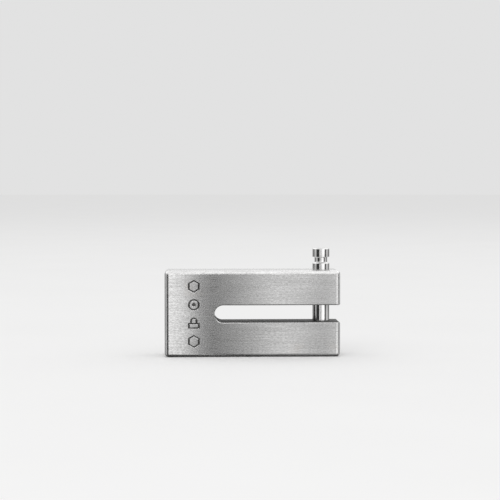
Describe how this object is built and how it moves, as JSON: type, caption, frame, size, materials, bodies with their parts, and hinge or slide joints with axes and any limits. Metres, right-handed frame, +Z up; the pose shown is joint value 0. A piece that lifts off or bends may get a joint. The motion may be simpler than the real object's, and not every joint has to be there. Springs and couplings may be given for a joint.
{
  "type": "disc brake lock",
  "caption": "Slotted stainless block that slips over a brake disc and is closed by a round push-down pin, held by a latch that a key releases.",
  "frame": {"origin": "centre of the flat underside of the block", "axes": "+X along the block towards the open end of the slot, -Y out of the plain front face, +Z up out of the pin's head"},
  "size_m": [0.1014, 0.025, 0.0625],
  "materials": {
    "brushed_stainless": "horizontal brushed grain, satin",
    "polished_pin": "polished hardened steel",
    "cylinder_brass": "machined brass",
    "cylinder_nickel": "satin nickel plate",
    "hard_steel": "ground hardened steel",
    "spring_steel": "drawn spring wire",
    "seal_rubber": "moulded black rubber"
  },
  "bodies": {
    "lock_body": {"body_block": "brushed_stainless", "back_plate": "brushed_stainless", "cover_rivets": "brushed_stainless", "pin_wiper_ring": "seal_rubber", "ejector_spring": "spring_steel", "cylinder_shell": "cylinder_nickel", "shell_dowel": "hard_steel", "cylinder_seal": "seal_rubber", "guard_pins": "hard_steel", "latch_spring": "spring_steel", "latch_keeper": "hard_steel", "spring_keeper": "hard_steel"},
    "pin": {"locking_pin": "polished_pin"},
    "key_plug": {"cylinder_rotor": "cylinder_brass", "front_disc": "hard_steel", "tumbler_discs": "cylinder_brass", "disc_spacers": "spring_steel", "side_bar": "hard_steel", "rotor_clip": "spring_steel", "tail_cam": "hard_steel", "cam_screw": "hard_steel"},
    "latch": {"latch_bolt": "hard_steel"}
  },
  "joints": [
    {"name": "pin_slide", "type": "slide", "parent": "lock_body", "child": "pin", "axis": [0, 0, 1], "range_m": [-0.0125, 0.03], "stiffness_N_per_m": 400, "deforming": ["ejector_spring"]},
    {"name": "key_turn", "type": "hinge", "parent": "lock_body", "child": "key_plug", "pos_m": [0.01785, 0, 0.04], "axis": [0, -1, 0], "range_deg": [0, 90]},
    {"name": "latch_slide", "type": "slide", "parent": "lock_body", "child": "latch", "axis": [-1, 0, 0], "range_m": [0, 0.0046], "deforming": ["latch_spring"]}
  ],
  "couplings": [
    {"joint": "latch_slide", "follows": "key_turn", "m_per_rad": 0.002881}
  ]
}
